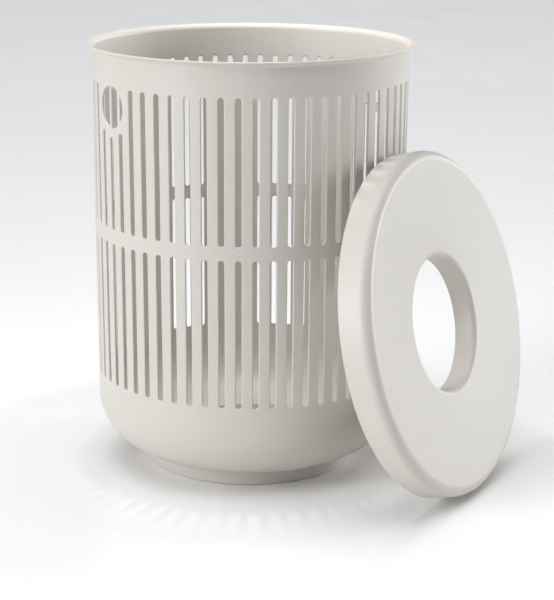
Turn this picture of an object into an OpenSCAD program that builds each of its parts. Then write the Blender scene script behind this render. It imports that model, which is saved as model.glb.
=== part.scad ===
// Round laundry hamper with a loose, ring-shaped lid.
// The origin is on the hamper's axis at the floor; the two hand holes face -X and +X.
// The lid stands on its open rim beside the hamper and leans back against the slotted wall.

/* [Basket] */
// Height of the basket from the floor to the top of its rim
basket_h = 500; // [480:5:520]
// Diameter over the rim lip
rim_d = 380; // [372:2:388]
// Wall thickness of both mouldings
wall = 2.6; // [2.2:0.1:3]
// How far the rim lip stands out past the wall
lip_reach = 6.4; // [5.4:0.2:7.4]
// Radius of the bend from the wall into the lip
lip_bend_r = 4.5; // [3:0.5:5]
// How much the drum's radius shrinks from the lip down to the bowl
drum_draft = 2.6; // [1:0.2:4]

/* [Slots] */
// Slots round the drum, an even number so that the hand holes match
slot_count = 60; // [56:2:60]
// Width of each slot
slot_w = 6.4; // [5:0.2:8]
// Height of the upper row's bottom ends
upper_row_bottom = 297; // [290:1:300]
// Height of the upper row's top ends
upper_row_top = 460.5; // [456:0.5:464]
// Height of the lower row's bottom ends
lower_row_bottom = 112; // [100:1:120]
// Height of the lower row's top ends
lower_row_top = 281.5; // [274:0.5:286]

/* [Hand holes] */
// Diameter of the two hand holes
hand_hole_d = 47; // [42:1:52]
// Height of the hand holes' centres
hand_hole_z = 437.5; // [430:0.5:440]
// Plain ring of wall kept between a hand hole and the shortened slots under it
hand_hole_margin = 10.2; // [7:0.2:12]

/* [Bowl and foot] */
// Radius of the curve from the drum into the base
bowl_r = 68; // [60:1:74]
// Height at which the drum starts to curve in
bowl_z = 85; // [82:1:94]
// Diameter of the foot where it leaves the bowl
foot_top_d = 248; // [240:2:256]
// Diameter of the foot near the floor
foot_bottom_d = 242; // [232:2:244]
// Radius of the foot's lower edge
foot_edge_r = 2.5; // [1.5:0.5:3]
// Height of the base panel's underside above the floor
base_lift = 3; // [2:0.5:6]

/* [Lid] */
// Diameter over the lid's skirt
lid_d = 393; // [390:1:400]
// Height of the lid
lid_h = 36.5; // [34:0.5:40]
// Radius of the lid's outer corner
lid_corner_r = 12; // [9:1:14]
// Slope of the face down towards the hole, in degrees
lid_dish = 4; // [2:0.2:5]
// Diameter of the lid's central hole
lid_hole_d = 153; // [140:1:160]
// Radius of the rounded edge of the hole
lid_hole_edge_r = 7; // [5:1:9]
// Distance from the lid's open rim to the end of the hole's collar
collar_rise = 3; // [2:0.5:8]

/* [Centring ribs] */
// Ribs inside the lid's skirt that seat and centre it on the rim
rib_count = 12; // [6:1:18]
// Thickness of each rib
rib_t = 1.8; // [1.2:0.1:2.4]
// Height of the ribs' seat above the lid's open rim
rib_seat = 24; // [20:1:26]
// Play between the rim lip and the ribs
rib_play = 0.7; // [0.4:0.1:1.5]

/* [Leaning lid] */
// Direction from the hamper's axis to the lid, in degrees from +X
lean_azimuth = -62; // [-80:1:-40]
// Tilt of the lid away from upright, in degrees
lean_tilt = 13; // [10:0.5:16]
// Gap left between the lid and the wall that it leans on
lean_gap = 0.4; // [0.3:0.1:1]

/* [Hidden] */
$fn = 96;

shell_colour = [0.87, 0.86, 0.84];
lid_colour = [0.85, 0.84, 0.82];

edge_r = wall / 2;
rim_r = rim_d / 2;
drum_top_r = rim_r - lip_reach;
drum_bottom_r = drum_top_r - drum_draft;
lip_bend_z = basket_h - wall - lip_bend_r;
bowl_centre_r = drum_bottom_r - bowl_r;
bowl_bottom_z = bowl_z - bowl_r;

foot_top_r = foot_top_d / 2;
foot_bottom_r = foot_bottom_d / 2;
foot_joint_z = bowl_bottom_z + wall;
floor_z = base_lift + wall;
well_top_z = floor_z + foot_joint_z;
standing_ring_r = foot_bottom_r - foot_edge_r - wall;

slot_pitch = 360 / slot_count;
slot_depth = 12;
hand_ring_r = hand_hole_d / 2 + hand_hole_margin;

lid_r = lid_d / 2;
lid_corner_c = [lid_r - lid_corner_r, lid_h - lid_corner_r];
hole_r = lid_hole_d / 2;
face_normal = [-sin(lid_dish), cos(lid_dish)];
hole_edge_x = hole_r + lid_hole_edge_r;
hole_edge_z = lid_corner_c.y + (lid_corner_r - lid_hole_edge_r) / cos(lid_dish)
    - (lid_corner_c.x - hole_edge_x) * tan(lid_dish);
hole_edge_c = [hole_edge_x, hole_edge_z];

rib_in_r = rim_r - 8;
rib_seat_r = rim_r + rib_play;
rib_foot = 10;

lid_edge_r = lid_r - edge_r;
lean_rise = lid_edge_r * cos(lean_tilt) - edge_r * sin(lean_tilt) + edge_r;
touch_z = lean_rise + lid_edge_r * cos(lean_tilt);
lean_reach = drum_r(touch_z) + lean_gap + lid_edge_r * sin(lean_tilt)
    + edge_r * (1 - cos(lean_tilt));

// Outer radius of the drum at height z
function drum_r(z) = drum_bottom_r + drum_draft * (z - bowl_z) / (lip_bend_z - bowl_z);

// Height at which a slot ends under the hand hole, for a slot across mm to its side
function under_hand_hole(across) = hand_hole_z - sqrt(hand_ring_r ^ 2 - across ^ 2);

// Sideways distance of a slot from the nearest hand hole, measured round the drum
function across_hand_hole(i) =
    let (half = slot_count / 2, turn = (i + half / 2) % half - half / 2)
    drum_top_r * sin(turn * slot_pitch);

// Top end of upper slot i, counted round from +X
function upper_top(i) =
    let (across = across_hand_hole(i))
    abs(across) < hand_ring_r ? under_hand_hole(across) : upper_row_top;

// Drum and bowl as a filled half section, inset by t from the outer surface
module drum_section(t) {
    polygon([
        [0, bowl_z],
        [drum_bottom_r - t, bowl_z],
        [drum_top_r - t, lip_bend_z],
        [0, lip_bend_z]
    ]);
    intersection() {
        translate([bowl_centre_r, bowl_z]) circle(bowl_r - t);
        translate([bowl_centre_r, bowl_bottom_z]) square([bowl_r, bowl_r]);
    }
    translate([0, bowl_bottom_z + t]) square([bowl_centre_r, bowl_r - t]);
}

// Foot as a filled half section with a rounded lower edge
module foot_section() {
    polygon([
        [0, foot_edge_r],
        [foot_bottom_r, foot_edge_r],
        [foot_top_r, foot_joint_z],
        [0, foot_joint_z]
    ]);
    translate([foot_bottom_r - foot_edge_r, foot_edge_r]) circle(foot_edge_r);
    square([foot_bottom_r - foot_edge_r, foot_edge_r]);
}

// Well inside the foot, from the base panel up into the bowl
module well_section() {
    slope = (foot_top_r - foot_bottom_r) / (foot_joint_z - foot_edge_r);
    polygon([
        [0, floor_z],
        [foot_bottom_r - wall + slope * (floor_z - foot_edge_r), floor_z],
        [foot_bottom_r - wall + slope * (well_top_z - foot_edge_r), well_top_z],
        [0, well_top_z]
    ]);
}

// Outward bend and lip at the rim, tangent to the wall
module lip_section() {
    bend = [drum_top_r + lip_bend_r, lip_bend_z];
    intersection() {
        translate(bend)
            difference() {
                circle(lip_bend_r + wall);
                circle(lip_bend_r);
            }
        translate([drum_top_r - wall, lip_bend_z])
            square([lip_bend_r + wall, lip_bend_r + wall]);
    }
    translate([bend.x, basket_h - wall]) square([rim_r - edge_r - bend.x, wall]);
    translate([rim_r - edge_r, basket_h - edge_r]) circle(edge_r);
}

// Round-ended slot cutter through the +X side, from height low to height high
module slot_cutter(low, high) {
    translate([drum_bottom_r - slot_depth, 0, 0])
        rotate([90, 0, 90])
            linear_extrude(2 * slot_depth) {
                translate([0, low + slot_w / 2]) circle(d = slot_w);
                translate([0, high - slot_w / 2]) circle(d = slot_w);
                translate([-slot_w / 2, low + slot_w / 2])
                    square([slot_w, high - low - slot_w]);
            }
}

// Hand hole cutter through the +X side
module hand_hole_cutter() {
    translate([drum_bottom_r - slot_depth, 0, hand_hole_z])
        rotate([0, 90, 0])
            cylinder(h = 2 * slot_depth, d = hand_hole_d);
}

module basket() {
    color(shell_colour)
        difference() {
            rotate_extrude() {
                difference() {
                    union() {
                        drum_section(0);
                        foot_section();
                    }
                    drum_section(wall);
                    well_section();
                    square([standing_ring_r, base_lift]);
                }
                lip_section();
            }
            for (i = [0 : slot_count - 1])
                rotate([0, 0, i * slot_pitch]) {
                    slot_cutter(lower_row_bottom, lower_row_top);
                    slot_cutter(upper_row_bottom, upper_top(i));
                }
            for (side = [0, 180])
                rotate([0, 0, side]) hand_hole_cutter();
        }
}

// Quarter bend of the lid's wall: outside radius r, from angle low to angle high
module bend_section(centre, r, low, high) {
    reach = 2 * r;
    translate(centre)
        intersection() {
            difference() {
                circle(r);
                circle(r - wall);
            }
            polygon([
                [0, 0],
                reach * [cos(low), sin(low)],
                reach * sqrt(2) * [cos((low + high) / 2), sin((low + high) / 2)],
                reach * [cos(high), sin(high)]
            ]);
        }
}

// Lid's wall in half section, with its open rim at z = 0
module lid_section() {
    outer = lid_corner_c + lid_corner_r * face_normal;
    inner = hole_edge_c + lid_hole_edge_r * face_normal;
    translate([lid_edge_r, edge_r]) circle(edge_r);
    translate([lid_r - wall, edge_r]) square([wall, lid_corner_c.y - edge_r]);
    bend_section(lid_corner_c, lid_corner_r, 0, 90 + lid_dish);
    polygon([outer, inner, inner - wall * face_normal, outer - wall * face_normal]);
    bend_section(hole_edge_c, lid_hole_edge_r, 90 + lid_dish, 180);
    translate([hole_r, collar_rise + edge_r])
        square([wall, hole_edge_c.y - collar_rise - edge_r]);
    translate([hole_r + edge_r, collar_rise + edge_r]) circle(edge_r);
}

// Stepped rib: its seat rests on the rim and its leg centres the rim
module centring_rib() {
    inside_r = lid_corner_r - edge_r;
    rotate([90, 0, 0])
        linear_extrude(rib_t, center = true)
            difference() {
                union() {
                    translate([rib_seat_r, rib_foot])
                        square([lid_edge_r - rib_seat_r, lid_corner_c.y - rib_foot]);
                    intersection() {
                        translate(lid_corner_c) circle(inside_r);
                        translate([lid_corner_c.x, 0]) square(lid_h);
                    }
                    translate([rib_in_r, lid_corner_c.y])
                        square([lid_corner_c.x - rib_in_r, inside_r]);
                }
                square([rib_seat_r, rib_seat]);
            }
}

// Lid in its own upright position, open rim down
module lid_body() {
    rotate_extrude() lid_section();
    for (i = [0 : rib_count - 1])
        rotate([0, 0, (i + 0.5) * 360 / rib_count]) centring_rib();
}

module lid() {
    color(lid_colour)
        rotate([0, 0, lean_azimuth])
            translate([lean_reach, 0, lean_rise])
                rotate([0, 90 - lean_tilt, 0])
                    lid_body();
}

basket();
lid();
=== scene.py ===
"""Round slotted laundry hamper with its ring-shaped lid leaning against the wall.

The basket and the lid are built as mesh skins over their moulded sizes, in metres.
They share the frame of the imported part: the hamper's axis is Z and the floor is z = 0.
"""

import logging
import math
from dataclasses import dataclass, field
from enum import Enum
from typing import Any, Dict, List, Optional, Sequence, Tuple, Union

import bmesh
import bpy
import numpy as np
from mathutils import Matrix, Vector
from mathutils.geometry import delaunay_2d_cdt


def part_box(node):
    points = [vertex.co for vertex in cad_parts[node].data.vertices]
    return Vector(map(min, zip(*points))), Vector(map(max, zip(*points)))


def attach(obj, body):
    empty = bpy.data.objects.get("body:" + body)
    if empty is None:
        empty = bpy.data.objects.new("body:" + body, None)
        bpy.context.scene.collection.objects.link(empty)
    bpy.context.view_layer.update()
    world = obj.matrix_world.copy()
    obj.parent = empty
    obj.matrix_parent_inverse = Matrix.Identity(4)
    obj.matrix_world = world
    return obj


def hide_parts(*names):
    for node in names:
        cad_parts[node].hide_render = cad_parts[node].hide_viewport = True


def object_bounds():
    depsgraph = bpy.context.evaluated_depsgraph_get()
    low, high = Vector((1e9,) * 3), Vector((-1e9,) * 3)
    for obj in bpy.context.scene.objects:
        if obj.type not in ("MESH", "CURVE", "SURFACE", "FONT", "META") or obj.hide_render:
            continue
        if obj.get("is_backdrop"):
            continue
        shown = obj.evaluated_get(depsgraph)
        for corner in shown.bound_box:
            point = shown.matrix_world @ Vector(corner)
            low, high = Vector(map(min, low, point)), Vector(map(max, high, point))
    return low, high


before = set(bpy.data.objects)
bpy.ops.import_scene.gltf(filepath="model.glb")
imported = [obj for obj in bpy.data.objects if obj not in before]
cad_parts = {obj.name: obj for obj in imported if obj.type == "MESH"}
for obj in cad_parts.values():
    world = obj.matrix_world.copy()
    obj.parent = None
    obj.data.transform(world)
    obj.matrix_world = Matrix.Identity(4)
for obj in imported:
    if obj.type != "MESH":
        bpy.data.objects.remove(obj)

log = logging.getLogger("hamper")

Point2 = Tuple[float, float]
Colour = Tuple[float, float, float, float]
Feed = Union["Wire", float, Tuple[float, ...]]

TURN_STEPS = 240
STEP_ANGLE = 2 * math.pi / TURN_STEPS
CORNER_STEPS = 6
SAME_POINT = 1e-6
WELD_REACH = 2e-6
MESH_LIMIT = 1e-7


# ---------------------------------------------------------------- shader kit


class Wire:
    """A node output that takes part in arithmetic as if it were a number."""

    def __init__(self, kit: "NodeKit", socket: bpy.types.NodeSocket) -> None:
        """Args:
            kit: The node kit that adds further nodes.
            socket: The output socket that is wrapped.
        """
        self.kit = kit
        self.socket = socket

    def _math(self, operation: str, first: Feed, second: Feed) -> "Wire":
        """Adds one Math node.

        Args:
            operation: The node's operation.
            first: Its first value.
            second: Its second value.

        Returns:
            The node's output.
        """
        return self.kit.add(
            "ShaderNodeMath", {"operation": operation}, {0: first, 1: second}
        )

    def __add__(self, other: Feed) -> "Wire":
        """The sum of this value and another."""
        return self._math("ADD", self, other)

    def __radd__(self, other: Feed) -> "Wire":
        """The sum of another value and this."""
        return self._math("ADD", other, self)

    def __sub__(self, other: Feed) -> "Wire":
        """This value less another."""
        return self._math("SUBTRACT", self, other)

    def __rsub__(self, other: Feed) -> "Wire":
        """Another value less this."""
        return self._math("SUBTRACT", other, self)

    def __mul__(self, other: Feed) -> "Wire":
        """The product of this value and another."""
        return self._math("MULTIPLY", self, other)

    def __rmul__(self, other: Feed) -> "Wire":
        """The product of another value and this."""
        return self._math("MULTIPLY", other, self)


class NodeKit:
    """Adds and links the nodes of one tree."""

    def __init__(self, tree: bpy.types.NodeTree) -> None:
        """Takes a tree and empties it.

        Args:
            tree: The material's or world's node tree.
        """
        self.tree = tree
        tree.nodes.clear()

    def add(
        self,
        kind: str,
        settings: Optional[Dict[str, Any]] = None,
        inputs: Optional[Dict[Union[str, int], Any]] = None,
        output: Union[str, int] = 0,
    ) -> Wire:
        """Adds a node, sets it, then feeds its sockets.

        Args:
            kind: The node's type.
            settings: Properties set before the sockets are fed.
            inputs: Values or wires by socket name or index.
            output: The output that is handed back.

        Returns:
            The chosen output, or an empty wire for a node without outputs.
        """
        node = self.tree.nodes.new(kind)
        for name, value in (settings or {}).items():
            setattr(node, name, value)
        for key, value in (inputs or {}).items():
            if isinstance(value, Wire):
                self.tree.links.new(value.socket, node.inputs[key])
            else:
                node.inputs[key].default_value = value
        return Wire(self, node.outputs[output] if len(node.outputs) else None)

    def blend(self, amount: Feed, first: Feed, second: Feed) -> Wire:
        """Mixes two colours.

        Args:
            amount: How much of the second colour is used.
            first: The colour at zero.
            second: The colour at one.

        Returns:
            The mixed colour.
        """
        return self.add(
            "ShaderNodeMix",
            {"data_type": "RGBA"},
            {0: amount, 6: first, 7: second},
            output=2,
        )

    def noise(
        self, place: Wire, scale: float, detail: float, roughness: float = 0.5
    ) -> Wire:
        """Adds a solid noise.

        Args:
            place: Where the noise is read.
            scale: Its scale, in repeats for each metre.
            detail: The number of finer layers.
            roughness: How strong the finer layers are.

        Returns:
            The noise's value.
        """
        return self.add(
            "ShaderNodeTexNoise",
            {"noise_dimensions": "3D"},
            {
                "Vector": place,
                "Scale": scale,
                "Detail": detail,
                "Roughness": roughness,
            },
        )

    def surface(self, shader: Wire) -> None:
        """Links a shader to the tree's output."""
        self.add("ShaderNodeOutputMaterial", None, {"Surface": shader})


# ------------------------------------------------------------------ finishes


@dataclass(frozen=True)
class MouldedPlastic:
    """Warm grey polypropylene with the fine satin grain of its mould."""

    name: str
    tint: Colour = (0.598, 0.563, 0.518, 1.0)
    shade: Colour = (0.574, 0.537, 0.490, 1.0)
    roughness: float = 0.42
    roughness_spread: float = 0.07
    cloud_scale: float = 4.5
    cloud_share: float = 0.7
    speck_scale: float = 260.0
    speck_share: float = 0.3
    grain_scale: float = 1500.0
    grain_height: float = 0.00002
    flow_scale: float = 9.0
    flow_height: float = 0.0005
    relief_strength: float = 0.5

    def material(self) -> bpy.types.Material:
        """Builds the plastic's nodes.

        Returns:
            The finished material.
        """
        material = bpy.data.materials.new(self.name)
        material.use_nodes = True
        kit = NodeKit(material.node_tree)
        place = kit.add("ShaderNodeTexCoord", output="Object")
        clouds = kit.noise(place, self.cloud_scale, 5.0, 0.55)
        specks = kit.noise(place, self.speck_scale, 3.0, 0.6)
        grain = kit.noise(place, self.grain_scale, 2.0)
        flow = kit.noise(place, self.flow_scale, 1.0)
        mottle = clouds * self.cloud_share + specks * self.speck_share
        colour = kit.blend(mottle, self.tint, self.shade)
        rough = self.roughness + (mottle - 0.5) * self.roughness_spread
        relief = grain * self.grain_height + flow * self.flow_height
        normal = kit.add(
            "ShaderNodeBump",
            None,
            {"Strength": self.relief_strength, "Distance": 1.0, "Height": relief},
        )
        shader = kit.add(
            "ShaderNodeBsdfPrincipled",
            None,
            {"Base Color": colour, "Roughness": rough, "Normal": normal},
        )
        kit.surface(shader)
        return material


@dataclass(frozen=True)
class StudioFloor:
    """Pale sheet floor with a slight satin gloss."""

    name: str
    tint: Colour = (0.965, 0.955, 0.945, 1.0)
    shade: Colour = (0.950, 0.940, 0.930, 1.0)
    roughness: float = 0.22
    roughness_spread: float = 0.08
    specular: float = 0.12
    cloud_scale: float = 2.2

    def material(self) -> bpy.types.Material:
        """Builds the floor's nodes.

        Returns:
            The finished material.
        """
        material = bpy.data.materials.new(self.name)
        material.use_nodes = True
        kit = NodeKit(material.node_tree)
        place = kit.add("ShaderNodeTexCoord", output="Object")
        clouds = kit.noise(place, self.cloud_scale, 5.0, 0.6)
        colour = kit.blend(clouds, self.tint, self.shade)
        rough = self.roughness + (clouds - 0.5) * self.roughness_spread
        shader = kit.add(
            "ShaderNodeBsdfPrincipled",
            None,
            {
                "Base Color": colour,
                "Roughness": rough,
                "Specular IOR Level": self.specular,
            },
        )
        kit.surface(shader)
        return material


# -------------------------------------------------------------- mesh helpers


class Side(Enum):
    """The two faces of a moulded wall."""

    OUTER = 1
    INNER = -1


@dataclass
class Profile:
    """Half section that is turned about the Z axis, as radius and height."""

    points: List[Tuple[float, float, float]] = field(default_factory=list)

    def to(self, r: float, z: float, corner: float = 0.0) -> "Profile":
        """Adds a straight run to a point.

        Args:
            r: The point's radius.
            z: The point's height.
            corner: Length that its corner is rounded back by.

        Returns:
            The profile itself.
        """
        self.points.append((r, z, corner))
        return self

    def run(self, r: float, z: float, parts: int) -> "Profile":
        """Adds a straight run in equal parts from the last point to a new one.

        Args:
            r: The new point's radius.
            z: The new point's height.
            parts: The number of parts.

        Returns:
            The profile itself.
        """
        r0, z0, _ = self.points[-1]
        for k in range(1, parts + 1):
            self.to(r0 + (r - r0) * k / parts, z0 + (z - z0) * k / parts)
        return self

    def arc(
        self, centre: Point2, radius: float, start: float, end: float, steps: int
    ) -> "Profile":
        """Adds an arc.

        Args:
            centre: The arc's centre as radius and height.
            radius: Its radius.
            start: Its first angle in degrees, from the outward direction.
            end: Its last angle in degrees.
            steps: The number of straight steps.

        Returns:
            The profile itself.
        """
        for k in range(steps + 1):
            a = math.radians(start + (end - start) * k / steps)
            self.to(centre[0] + radius * math.cos(a), centre[1] + radius * math.sin(a))
        return self

    def line(self, closed: bool) -> np.ndarray:
        """Rounds the marked corners.

        Args:
            closed: Whether the last point joins the first.

        Returns:
            The points as rows of radius and height, with doubles left out.
        """
        raw = self.points
        line: List[np.ndarray] = []
        for i, (r, z, corner) in enumerate(raw):
            here = np.array((r, z))
            if corner <= 0:
                line.append(here)
                continue
            back = np.array(raw[i - 1][:2]) - here
            ahead = np.array(raw[(i + 1) % len(raw)][:2]) - here
            reach = min(
                corner, 0.45 * np.linalg.norm(back), 0.45 * np.linalg.norm(ahead)
            )
            start = here + back / np.linalg.norm(back) * reach
            end = here + ahead / np.linalg.norm(ahead) * reach
            for t in np.linspace(0, 1, CORNER_STEPS):
                line.append(
                    (1 - t) ** 2 * start + 2 * t * (1 - t) * here + t * t * end
                )
        kept = [line[0]]
        for p in line[1:]:
            if np.linalg.norm(p - kept[-1]) > SAME_POINT:
                kept.append(p)
        if closed and np.linalg.norm(kept[0] - kept[-1]) < SAME_POINT:
            kept.pop()
        return np.array(kept)


class Skin:
    """Collects the vertices, normals and faces of one moulding."""

    def __init__(self) -> None:
        """Starts with nothing collected."""
        self.places: List[np.ndarray] = []
        self.normals: List[np.ndarray] = []
        self.faces: List[Tuple[int, ...]] = []
        self.count = 0

    def add(
        self,
        places: np.ndarray,
        normals: np.ndarray,
        faces: Sequence[Sequence[int]],
    ) -> None:
        """Adds a patch.

        Args:
            places: The patch's points, one row each.
            normals: The surface's normals at those points.
            faces: Faces as indices into the patch's own points.
        """
        base = self.count
        self.places.append(places)
        self.normals.append(normals)
        self.faces.extend(tuple(base + int(i) for i in f) for f in faces)
        self.count += len(places)

    def turn(
        self,
        profile: Profile,
        closed: bool = False,
        ends: Optional[Tuple[Point2, Point2]] = None,
    ) -> None:
        """Turns a profile about the Z axis.

        Args:
            profile: The half section; solid lies to the left of its direction.
            closed: Whether the section closes on itself.
            ends: Normals at the first and last point of an open section.
        """
        line = profile.line(closed)
        ahead = np.roll(line, -1, axis=0) - line
        if not closed:
            ahead = ahead[:-1]
        facing = np.column_stack((ahead[:, 1], -ahead[:, 0]))
        if closed:
            normal = facing + np.roll(facing, 1, axis=0)
        else:
            normal = np.vstack((facing[:1], facing[:-1] + facing[1:], facing[-1:]))
        normal /= np.linalg.norm(normal, axis=1)[:, None]
        if ends is not None:
            normal[0], normal[-1] = ends
        angle = np.arange(TURN_STEPS) * STEP_ANGLE
        spin = np.column_stack((np.cos(angle), np.sin(angle), np.ones(TURN_STEPS)))

        def swept(rows: np.ndarray) -> np.ndarray:
            """Turns rows of radius and height into rows of x, y and z."""
            flat = np.column_stack((rows[:, 0], rows[:, 0], rows[:, 1]))
            return (flat[:, None, :] * spin[None, :, :]).reshape(-1, 3)

        faces = []
        n = len(line)
        for i in range(n if closed else n - 1):
            j = (i + 1) % n
            for k in range(TURN_STEPS):
                m = (k + 1) % TURN_STEPS
                faces.append(
                    (
                        i * TURN_STEPS + k,
                        i * TURN_STEPS + m,
                        j * TURN_STEPS + m,
                        j * TURN_STEPS + k,
                    )
                )
        self.add(swept(line), swept(normal), faces)

    def piece(self, name: str, place: Matrix) -> bpy.types.Object:
        """Welds the patches into one smooth object.

        Args:
            name: The piece's name.
            place: Where the moulding stands in the shared frame.

        Returns:
            The linked object.
        """
        places = np.vstack(self.places)
        normals = np.vstack(self.normals)
        turn = np.array(place.to_3x3())
        places = places @ turn.T + np.array(place.translation)
        normals = normals @ turn.T
        bm = bmesh.new()
        layer = bm.verts.layers.float_vector.new("facing")
        verts = []
        for p, n in zip(places, normals):
            v = bm.verts.new(p)
            v[layer] = n
            verts.append(v)
        for f in self.faces:
            if len(set(f)) > 2:
                bm.faces.new([verts[i] for i in f])
        bmesh.ops.remove_doubles(bm, verts=bm.verts, dist=WELD_REACH)
        for f in bm.faces:
            f.smooth = True
        mesh = bpy.data.meshes.new(name)
        bm.to_mesh(mesh)
        facing = [tuple(v[layer]) for v in bm.verts]
        bm.free()
        mesh.normals_split_custom_set_from_vertices(facing)
        mesh.attributes.remove(mesh.attributes["facing"])
        thing = bpy.data.objects.new(name, mesh)
        bpy.context.scene.collection.objects.link(thing)
        return thing


# -------------------------------------------------------------------- basket


@dataclass
class Opening:
    """An opening cut square through the drum's wall, seen in its own frame."""

    turn: float
    low: float
    high: float
    width: float
    cap_steps: int = 12

    def outline(self) -> np.ndarray:
        """Walks round the opening against the clock.

        Returns:
            Rows of sideways place, height and the direction into the wall.
        """
        r = self.width / 2
        rows = []
        for centre, first in ((self.low + r, math.pi), (self.high - r, 0.0)):
            for k in range(self.cap_steps + 1):
                a = first + math.pi * k / self.cap_steps
                y, z = math.cos(a), math.sin(a)
                rows.append((r * y, centre + r * z, y, z))
        line = [rows[0]]
        for row in rows[1:]:
            if math.dist(row[:2], line[-1][:2]) > SAME_POINT:
                line.append(row)
        if math.dist(line[0][:2], line[-1][:2]) < SAME_POINT:
            line.pop()
        return np.array(line)

    def covers(self, y: float, z: float, spare: float = 0.0) -> bool:
        """Whether a point lies in the opening.

        Args:
            y: The point's sideways place in the opening's frame.
            z: The point's height.
            spare: Margin added all round.

        Returns:
            True inside the opening and its margin.
        """
        r = self.width / 2
        near = min(max(z, self.low + r), self.high - r)
        return math.hypot(y, z - near) < r + spare


@dataclass
class Basket:
    """The slotted drum with its rim lip, bowl and foot, in one moulding."""

    height: float = 0.500
    rim_radius: float = 0.190
    wall: float = 0.0026
    lip_reach: float = 0.0064
    lip_bend: float = 0.0045
    draft: float = 0.0026
    slots: int = 60
    slot_width: float = 0.0064
    upper_row: Point2 = (0.297, 0.4605)
    lower_row: Point2 = (0.112, 0.2815)
    hand_hole: float = 0.047
    hand_hole_z: float = 0.4375
    hand_ring: float = 0.0337
    bowl_radius: float = 0.068
    bowl_z: float = 0.085
    foot_top_radius: float = 0.124
    foot_radius: float = 0.121
    foot_edge: float = 0.0025
    base_lift: float = 0.003
    crease_z: float = 0.01784
    crease_angle: float = -80.4
    crease_round: float = 0.001
    well_z: float = 0.02015
    well_angle: float = -82.2
    well_round: float = 0.0012
    floor_round: float = 0.0016
    ring_gap: float = 0.002
    ring_top_round: float = 0.0007
    ring_foot_round: float = 0.0005
    edge: float = 0.0012
    inner_edge: float = 0.0004
    grid_gap: float = 0.0016
    cut_slack: float = 0.00003
    finish: MouldedPlastic = MouldedPlastic("basket_plastic")

    @property
    def top_radius(self) -> float:
        """Outer radius of the drum under the lip."""
        return self.rim_radius - self.lip_reach

    @property
    def bottom_radius(self) -> float:
        """Outer radius of the drum above the bowl."""
        return self.top_radius - self.draft

    @property
    def lip_z(self) -> float:
        """Height at which the wall starts to bend into the lip."""
        return self.height - self.wall - self.lip_bend

    @property
    def lean(self) -> float:
        """Growth of the drum's radius for each metre of height."""
        return self.draft / (self.lip_z - self.bowl_z)

    @property
    def foot_slope(self) -> float:
        """Growth of the foot's radius for each metre of height."""
        return (self.foot_top_radius - self.foot_radius) / (
            self.bowl_z - self.bowl_radius + self.wall - self.foot_edge
        )

    def radius(self, z: Union[float, np.ndarray]) -> Union[float, np.ndarray]:
        """Outer radius of the drum at given heights."""
        return self.bottom_radius + self.lean * (z - self.bowl_z)

    def lip(self) -> Profile:
        """Section of the rim: out of the wall, over the lip and back inside.

        Returns:
            The open profile.
        """
        bend = (self.top_radius + self.lip_bend, self.lip_z)
        end = (self.rim_radius - self.wall / 2, self.height - self.wall / 2)
        return (
            Profile()
            .arc(bend, self.lip_bend, 180, 90, 10)
            .arc(end, self.wall / 2, -90, 90, 12)
            .arc(bend, self.lip_bend + self.wall, 90, 180, 14)
        )

    def inside_base(self) -> Profile:
        """Section of the bowl's and the base panel's upper faces, down and in.

        Returns:
            The open profile, ending on the axis.
        """
        centre = (self.bottom_radius - self.bowl_radius, self.bowl_z)
        slope = self.foot_slope
        floor = self.base_lift + self.wall
        inner = self.foot_radius - self.wall
        return (
            Profile()
            .arc(centre, self.bowl_radius - self.wall, 0, self.well_angle, 44)
            .to(
                inner + slope * (self.well_z - self.foot_edge),
                self.well_z,
                self.well_round,
            )
            .to(inner + slope * (floor - self.foot_edge), floor, self.floor_round)
            .run(0.0, floor, 8)
        )

    def outside_base(self) -> Profile:
        """Section of the base's underside, the foot and the bowl, out and up.

        Returns:
            The open profile, starting on the axis.
        """
        centre = (self.bottom_radius - self.bowl_radius, self.bowl_z)
        ring = self.foot_radius - self.foot_edge - self.wall
        edge = (self.foot_radius - self.foot_edge, self.foot_edge)
        crease_r = self.foot_radius + self.foot_slope * (self.crease_z - self.foot_edge)
        return (
            Profile()
            .to(0.0, self.base_lift)
            .run(ring - self.ring_gap, self.base_lift, 8)
            .to(ring, self.base_lift, self.ring_top_round)
            .to(ring, 0.0, self.ring_foot_round)
            .arc(edge, self.foot_edge, -90, 0, 8)
            .to(crease_r, self.crease_z, self.crease_round)
            .arc(centre, self.bowl_radius, self.crease_angle, 0, 44)
        )

    def slot_top(self, index: int) -> float:
        """Top end of an upper slot.

        Args:
            index: The slot's place counted from the nearest hand hole.

        Returns:
            The height, lower under the hand hole.
        """
        across = abs(self.top_radius * math.sin(index * 2 * math.pi / self.slots))
        if across < self.hand_ring:
            return self.hand_hole_z - math.sqrt(self.hand_ring**2 - across**2)
        return self.upper_row[1]

    def bay(self, reach: int, holed: bool) -> List[Opening]:
        """Openings of one stretch of the wall.

        Args:
            reach: Slots on each side of the middle one.
            holed: Whether a hand hole lies over the middle slot.

        Returns:
            The openings, with angles from the middle slot.
        """
        pitch = 2 * math.pi / self.slots
        found = []
        for i in range(-reach, reach + 1):
            top = self.slot_top(i) if holed else self.upper_row[1]
            found.append(Opening(i * pitch, *self.lower_row, self.slot_width))
            found.append(Opening(i * pitch, self.upper_row[0], top, self.slot_width))
        if holed:
            r = self.hand_hole / 2
            found.append(
                Opening(
                    0.0,
                    self.hand_hole_z - r,
                    self.hand_hole_z + r,
                    self.hand_hole,
                    cap_steps=32,
                )
            )
        return found

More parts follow.
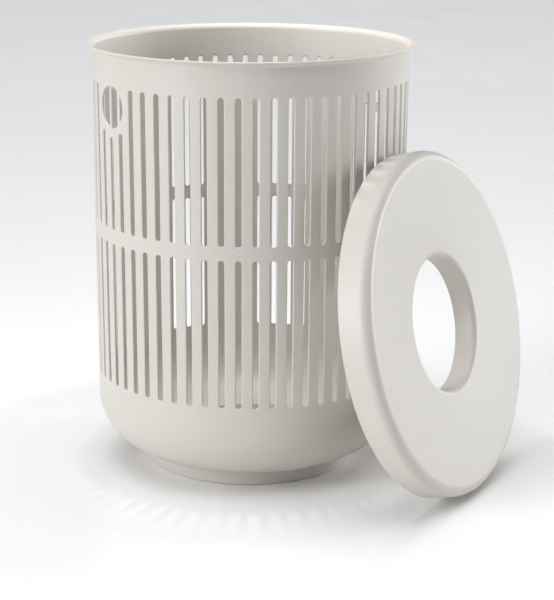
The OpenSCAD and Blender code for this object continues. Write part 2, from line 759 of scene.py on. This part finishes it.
    def rings(self, opening: Opening) -> Tuple[np.ndarray, np.ndarray]:
        """Rows of points from the outer face through an opening to the inner face.

        Args:
            opening: The opening in the wall.

        Returns:
            Points and normals, each as rings by points by three.
        """
        walk = opening.outline()
        into = np.column_stack((np.zeros(len(walk)), walk[:, 2:]))
        places, normals = [], []
        swings = [math.radians(a) for a in (0, 22.5, 45, 67.5, 90)]
        steps = [(a, Side.OUTER) for a in swings]
        steps += [(a, Side.INNER) for a in reversed(swings)]
        for swing, side in steps:
            edge = self.edge if side is Side.OUTER else self.inner_edge
            shift = edge * (1 - math.sin(swing))
            depth = edge * (1 - math.cos(swing))
            if side is Side.INNER:
                depth = self.wall - depth
            y = walk[:, 0] + shift * walk[:, 2]
            z = walk[:, 1] + shift * walk[:, 3]
            r = self.radius(z) - depth
            x = np.sqrt(r**2 - y**2)
            out = np.column_stack((x / r, y / r, np.full(len(r), -self.lean)))
            normal = side.value * math.cos(swing) * out - math.sin(swing) * into
            places.append(np.column_stack((x, y, z)))
            normals.append(normal / np.linalg.norm(normal, axis=1)[:, None])
        return np.array(places), np.array(normals)

    def stretch(self, reach: int, holed: bool) -> Skin:
        """Meshes one stretch of the wall, both faces and the openings' edges.

        Args:
            reach: Slots on each side of the middle one.
            holed: Whether a hand hole lies over the middle slot.

        Returns:
            The stretch, centred on +X.
        """
        patch = Skin()
        openings = self.bay(reach, holed)
        half = (reach + 0.5) * 2 * math.pi / self.slots
        columns = round(2 * half / STEP_ANGLE)
        levels = self.levels()
        flat: List[Point2] = []
        outer: List[Point2] = []
        inner: List[Point2] = []
        edges: List[Tuple[int, int]] = []

        def mark(a: float, b: float, z: float) -> int:
            """Notes one point of both faces.

            Args:
                a: Its angle on the outer face.
                b: Its angle on the inner face.
                z: Its height.

            Returns:
                The point's index.
            """
            flat.append((a * self.top_radius, z))
            outer.append((a, z))
            inner.append((b, z))
            return len(flat) - 1

        side: Dict[Tuple[int, int], int] = {}
        for c in range(columns + 1):
            a = -half + c * STEP_ANGLE
            for l, z in enumerate(levels):
                rim = c in (0, columns) or l in (0, len(levels) - 1)
                r = self.radius(z)
                clear = not any(
                    o.covers(r * math.sin(a - o.turn), z, self.edge + self.grid_gap)
                    for o in openings
                )
                if rim or clear:
                    side[c, l] = mark(a, a, z)
        last = len(levels) - 1
        for c in range(columns):
            edges.append((side[c, 0], side[c + 1, 0]))
            edges.append((side[c, last], side[c + 1, last]))
        for l in range(last):
            edges.append((side[0, l], side[0, l + 1]))
            edges.append((side[columns, l], side[columns, l + 1]))
        for o in openings:
            places, normals = self.rings(o)
            turn = np.array(Matrix.Rotation(o.turn, 3, "Z"))
            places, normals = places @ turn.T, normals @ turn.T
            n = places.shape[1]
            first = len(flat)
            front = np.arctan2(places[0, :, 1], places[0, :, 0])
            back = np.arctan2(places[-1, :, 1], places[-1, :, 0])
            for a, b, z in zip(front, back, places[0, :, 2]):
                mark(float(a), float(b), float(z))
            edges.extend((first + k, first + (k + 1) % n) for k in range(n))
            faces = [
                (i + k, i + (k + 1) % n, i + n + (k + 1) % n, i + n + k)
                for i in range(0, (len(places) - 1) * n, n)
                for k in range(n)
            ]
            patch.add(places.reshape(-1, 3), normals.reshape(-1, 3), faces)
        verts, _, cells, _, _, _ = delaunay_2d_cdt(
            [Vector(p) for p in flat], edges, [], 0, MESH_LIMIT
        )
        if len(verts) != len(flat):
            raise ValueError("the wall's outline was split while it was meshed")
        kept = []
        for cell in cells:
            u = sum(verts[i].x for i in cell) / len(cell) / self.top_radius
            z = sum(verts[i].y for i in cell) / len(cell)
            r = self.radius(z)
            if not any(
                o.covers(r * math.sin(u - o.turn), z, self.edge - self.cut_slack)
                for o in openings
            ):
                kept.append(tuple(cell))
        for marks, depth, face in ((outer, 0.0, 1), (inner, self.wall, -1)):
            line = np.array(marks)
            r = self.radius(line[:, 1]) - depth
            c, s = np.cos(line[:, 0]), np.sin(line[:, 0])
            normal = np.column_stack((c, s, np.full(len(r), -self.lean))) * face
            patch.add(
                np.column_stack((r * c, r * s, line[:, 1])),
                normal / np.linalg.norm(normal, axis=1)[:, None],
                [t[::face] for t in kept],
            )
        return patch

    def levels(self) -> List[float]:
        """Heights of the wall's grid rows, closer round the slots' ends and the hole.

        Returns:
            The heights, from the bowl to the lip.
        """
        rows = [self.bowl_z, 0.0925, 0.100, 0.107]
        rows += [0.140 + 0.023 * k for k in range(6)]
        rows += [0.2863, 0.2898, 0.2932]
        rows += [0.322 + 0.0155 * k for k in range(6)]
        rows += [0.4072, 0.4130, 0.4190, 0.4255, 0.4320, 0.4375]
        rows += [0.4430, 0.4490, 0.4550, 0.4610, 0.4665, 0.4725, 0.4790, 0.4860]
        return rows + [self.lip_z]

    def skin(self) -> Skin:
        """Joins the wall's stretches to the lip and the base.

        Returns:
            The whole moulding.
        """
        whole = Skin()
        out = np.array((1.0, -self.lean)) / math.hypot(1, self.lean)
        whole.turn(self.lip(), ends=(tuple(out), tuple(-out)))
        whole.turn(self.inside_base(), ends=(tuple(-out), (0.0, 1.0)))
        whole.turn(self.outside_base(), ends=((0.0, -1.0), tuple(out)))
        plain, holed = self.stretch(0, False), self.stretch(1, True)
        half = self.slots // 2
        for i in range(self.slots):
            near = min(i % half, half - i % half)
            if near == 1:
                continue
            part = holed if near == 0 else plain
            turn = np.array(Matrix.Rotation(i * 2 * math.pi / self.slots, 3, "Z"))
            places = np.vstack(part.places) @ turn.T
            normals = np.vstack(part.normals) @ turn.T
            whole.add(places, normals, part.faces)
        return whole

    def build(self) -> bpy.types.Object:
        """Builds, places and dresses the basket.

        Returns:
            The basket's piece.
        """
        low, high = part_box("basket")
        middle = Vector(((low.x + high.x) / 2, (low.y + high.y) / 2, low.z))
        piece = self.skin().piece("slotted_basket", Matrix.Translation(middle))
        piece.data.materials.append(self.finish.material())
        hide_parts("basket")
        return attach(piece, "hamper")


# ----------------------------------------------------------------------- lid


@dataclass
class Lid:
    """The ring-shaped lid with its centring ribs, standing on its edge."""

    radius: float = 0.1965
    height: float = 0.0365
    corner: float = 0.012
    wall: float = 0.0026
    dish: float = 4.0
    hole_radius: float = 0.0765
    hole_edge: float = 0.007
    collar_rise: float = 0.003
    ribs: int = 12
    rib_thickness: float = 0.0018
    rib_seat: float = 0.024
    rib_foot: float = 0.010
    rib_inner_radius: float = 0.182
    rib_seat_radius: float = 0.1907
    rib_edge: float = 0.0003
    azimuth: float = -62.0
    tilt: float = 13.0
    finish: MouldedPlastic = MouldedPlastic("lid_plastic")

    def section(self) -> Profile:
        """Section of the skirt, the face and the hole's collar, all round.

        Returns:
            The closed profile.
        """
        r, w = self.corner, self.wall
        turn = 90 + self.dish
        a = math.radians(self.dish)
        top = (self.radius - r, self.height - r)
        hole_r = self.hole_radius + self.hole_edge
        hole = (
            hole_r,
            top[1]
            + (r - self.hole_edge) / math.cos(a)
            - (top[0] - hole_r) * math.tan(a),
        )
        e = w / 2

        def face(centre: Point2, radius: float) -> Point2:
            """Point on the face's line nearest a bend's centre."""
            return (
                centre[0] - radius * math.sin(a),
                centre[1] + radius * math.cos(a),
            )

        return (
            Profile()
            .to(self.radius, e)
            .to(self.radius, top[1])
            .arc(top, r, 0, turn, 20)
            .run(*face(hole, self.hole_edge), 8)
            .arc(hole, self.hole_edge, turn, 180, 14)
            .to(self.hole_radius, self.collar_rise + e)
            .arc((self.hole_radius + e, self.collar_rise + e), e, 180, 360, 10)
            .to(self.hole_radius + w, hole[1])
            .arc(hole, self.hole_edge - w, 180, turn, 12)
            .run(*face(top, r - w), 8)
            .arc(top, r - w, turn, 0, 16)
            .to(self.radius - w, e)
            .arc((self.radius - e, e), e, 180, 360, 10)
        )

    def rib(self, turn: float) -> bmesh.types.BMesh:
        """One stepped rib inside the skirt.

        Args:
            turn: The rib's angle in the lid's own frame.

        Returns:
            The rib's mesh with its free edges broken.
        """
        buried = self.corner - self.wall / 3
        centre = (self.radius - self.corner, self.height - self.corner)
        outline = [
            (self.rib_inner_radius, self.rib_seat),
            (self.rib_seat_radius, self.rib_seat),
            (self.rib_seat_radius, self.rib_foot),
            (self.radius - self.wall / 2, self.rib_foot),
        ]
        for k in range(5):
            a = math.radians(22.5 * k)
            outline.append(
                (centre[0] + buried * math.cos(a), centre[1] + buried * math.sin(a))
            )
        outline.append((self.rib_inner_radius, centre[1] + self.corner - self.wall / 2))
        bm = bmesh.new()
        half = self.rib_thickness / 2
        near = [bm.verts.new((r, -half, z)) for r, z in outline]
        far = [bm.verts.new((r, half, z)) for r, z in outline]
        n = len(outline)
        bm.faces.new(near)
        bm.faces.new(far[::-1])
        for k in range(n):
            m = (k + 1) % n
            bm.faces.new((near[m], near[k], far[k], far[m]))
        bmesh.ops.recalc_face_normals(bm, faces=bm.faces)
        bmesh.ops.bevel(
            bm,
            geom=list(bm.edges),
            offset=self.rib_edge,
            segments=2,
            profile=0.5,
            affect="EDGES",
        )
        bmesh.ops.rotate(
            bm, verts=bm.verts, cent=(0, 0, 0), matrix=Matrix.Rotation(turn, 3, "Z")
        )
        return bm

    def skin(self) -> Skin:
        """Turns the section and adds the ribs.

        Returns:
            The whole moulding, open rim down.
        """
        whole = Skin()
        whole.turn(self.section(), closed=True)
        for i in range(self.ribs):
            bm = self.rib((i + 0.5) * 2 * math.pi / self.ribs)
            bm.normal_update()
            for f in bm.faces:
                places = np.array([v.co[:] for v in f.verts])
                normals = np.array([f.normal[:]] * len(f.verts))
                whole.add(places, normals, [tuple(range(len(f.verts)))])
            bm.free()
        return whole

    def build(self) -> bpy.types.Object:
        """Builds, leans and dresses the lid.

        Returns:
            The lid's piece.
        """
        turn = Matrix.Rotation(math.radians(self.azimuth), 4, "Z") @ Matrix.Rotation(
            math.radians(90 - self.tilt), 4, "Y"
        )
        skin = self.skin()
        spun = np.vstack(skin.places) @ np.array(turn.to_3x3()).T
        low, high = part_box("lid")
        middle = (np.array(low) + np.array(high)) / 2
        shift = middle - (spun.min(0) + spun.max(0)) / 2
        piece = skin.piece("ring_lid", Matrix.Translation(shift) @ turn)
        piece.data.materials.append(self.finish.material())
        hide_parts("lid")
        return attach(piece, "lid")


# -------------------------------------------------------------------- studio


@dataclass(frozen=True)
class SoftLight:
    """A distant soft light, placed by its bearing as seen from the hamper."""

    name: str
    bearing: float
    elevation: float
    spread: float
    power: float
    tint: Tuple[float, float, float] = (0.950, 0.975, 1.0)
    reach: float = 4.0

    def build(self, front: float) -> bpy.types.Object:
        """Hangs the light.

        Args:
            front: The camera's own bearing in degrees.

        Returns:
            The light's object.
        """
        lamp = bpy.data.lights.new(self.name, "SUN")
        lamp.energy = self.power
        lamp.angle = math.radians(self.spread)
        lamp.color = self.tint
        thing = bpy.data.objects.new(self.name, lamp)
        a = math.radians(front + self.bearing)
        e = math.radians(self.elevation)
        source = Vector(
            (math.cos(e) * math.cos(a), math.cos(e) * math.sin(a), math.sin(e))
        )
        thing.rotation_euler = source.to_track_quat("Z", "Y").to_euler()
        thing.location = source * self.reach
        bpy.context.scene.collection.objects.link(thing)
        return thing


@dataclass(frozen=True)
class Bulb:
    """A small lamp hung over the hamper, placed as seen from the camera."""

    name: str
    right: float
    away: float
    height: float
    radius: float
    power: float

    def build(self, front: float) -> bpy.types.Object:
        """Hangs the lamp.

        Args:
            front: The camera's own bearing in degrees.

        Returns:
            The lamp's object.
        """
        lamp = bpy.data.lights.new(self.name, "POINT")
        lamp.energy = self.power
        lamp.shadow_soft_size = self.radius
        thing = bpy.data.objects.new(self.name, lamp)
        turn = Matrix.Rotation(math.radians(front + 90), 3, "Z")
        thing.location = turn @ Vector((self.right, self.away, self.height))
        bpy.context.scene.collection.objects.link(thing)
        return thing


@dataclass
class Studio:
    """Pale floor, soft lights and the camera."""

    bearing: float = -122.05
    distance: float = 2.1573
    camera_height: float = 0.7614
    pitch: float = 14.823
    yaw: float = 0.857
    roll: float = 0.302
    lens: float = 111.84
    view_end: float = 60.0
    floor_rings: Tuple[float, ...] = (0.25, 0.5, 1.0, 2.0, 4.0, 8.0, 14.0)
    floor_steps: int = 96
    floor_drop: float = 0.0001
    ambient: float = 0.03
    finish: StudioFloor = StudioFloor("studio_floor")
    bulb: Bulb = Bulb("overhead_bulb", 0.015, 0.067, 0.95, 0.035, 6.0)
    lights: Tuple[SoftLight, ...] = (
        SoftLight("ceiling", 0, 86, 60, 2.00),
        SoftLight("left_low", -58, 8, 40, 2.10),
        SoftLight("left_high", -55, 35, 30, 0.80),
        SoftLight("right_low", 105, 8, 20, 1.70),
        SoftLight("right_rear", 138, 8, 20, 0.45),
        SoftLight("left_rear", -120, 8, 20, 0.35),
        SoftLight("rear_high", 180, 68, 40, 0.32),
    )

    def floor(self) -> bpy.types.Object:
        """Lays the floor as a wide disc of rings under the part.

        Returns:
            The floor's object.
        """
        low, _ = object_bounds()
        bm = bmesh.new()
        turns = [math.tau * k / self.floor_steps for k in range(self.floor_steps)]
        centre = bm.verts.new((0, 0, 0))
        rows = [
            [bm.verts.new((r * math.cos(a), r * math.sin(a), 0)) for a in turns]
            for r in self.floor_rings
        ]
        for k in range(self.floor_steps):
            m = (k + 1) % self.floor_steps
            bm.faces.new((centre, rows[0][k], rows[0][m]))
            for a, b in zip(rows, rows[1:]):
                bm.faces.new((a[k], b[k], b[m], a[m]))
        mesh = bpy.data.meshes.new("studio_floor")
        bm.to_mesh(mesh)
        bm.free()
        mesh.materials.append(self.finish.material())
        thing = bpy.data.objects.new("studio_floor", mesh)
        thing.location = (0, 0, low[2] - self.floor_drop)
        bpy.context.scene.collection.objects.link(thing)
        thing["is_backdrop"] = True
        return thing

    def world(self) -> None:
        """Sets a plain white surround as weak ambient light."""
        world = bpy.data.worlds.new("studio_world")
        world.use_nodes = True
        bpy.context.scene.world = world
        kit = NodeKit(world.node_tree)
        sky = kit.add(
            "ShaderNodeBackground",
            None,
            {"Color": (1.0, 1.0, 1.0, 1.0), "Strength": self.ambient},
        )
        kit.add("ShaderNodeOutputWorld", None, {"Surface": sky})

    def camera(self) -> bpy.types.Object:
        """Stands the camera.

        Returns:
            The camera's object.
        """
        p, y, r = (math.radians(v) for v in (self.pitch, self.yaw, self.roll))
        ahead = Vector(
            (math.sin(y) * math.cos(p), math.cos(y) * math.cos(p), -math.sin(p))
        )
        right = ahead.cross(Vector((0, 0, 1))).normalized()
        up = right.cross(ahead)
        level = right * math.cos(r) + up * math.sin(r)
        upright = up * math.cos(r) - right * math.sin(r)
        axes = Matrix((level, upright, -ahead)).transposed().to_4x4()
        stand = Matrix.Translation((0, -self.distance, self.camera_height))
        data = bpy.data.cameras.new("studio_camera")
        data.sensor_fit = "AUTO"
        data.sensor_width = 36.0
        data.lens = self.lens
        data.clip_end = self.view_end
        thing = bpy.data.objects.new("studio_camera", data)
        turn = Matrix.Rotation(math.radians(self.bearing + 90), 4, "Z")
        thing.matrix_world = turn @ stand @ axes
        bpy.context.scene.collection.objects.link(thing)
        bpy.context.scene.camera = thing
        return thing

    def build(self) -> None:
        """Builds the whole studio."""
        self.floor()
        self.world()
        for light in (self.bulb, *self.lights):
            light.build(self.bearing)
        self.camera()
        view = bpy.context.scene.view_settings
        view.view_transform = "Standard"
        view.look = "None"


def main() -> None:
    """Builds the pieces in order, then the studio, and logs each piece's face count."""
    logging.basicConfig(level=logging.INFO, format="%(name)s: %(message)s")
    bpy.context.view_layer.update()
    for maker in (Basket(), Lid()):
        piece = maker.build()
        log.info("%s: %d faces", piece.name, len(piece.data.polygons))
    Studio().build()


if __name__ == "__main__":
    main()
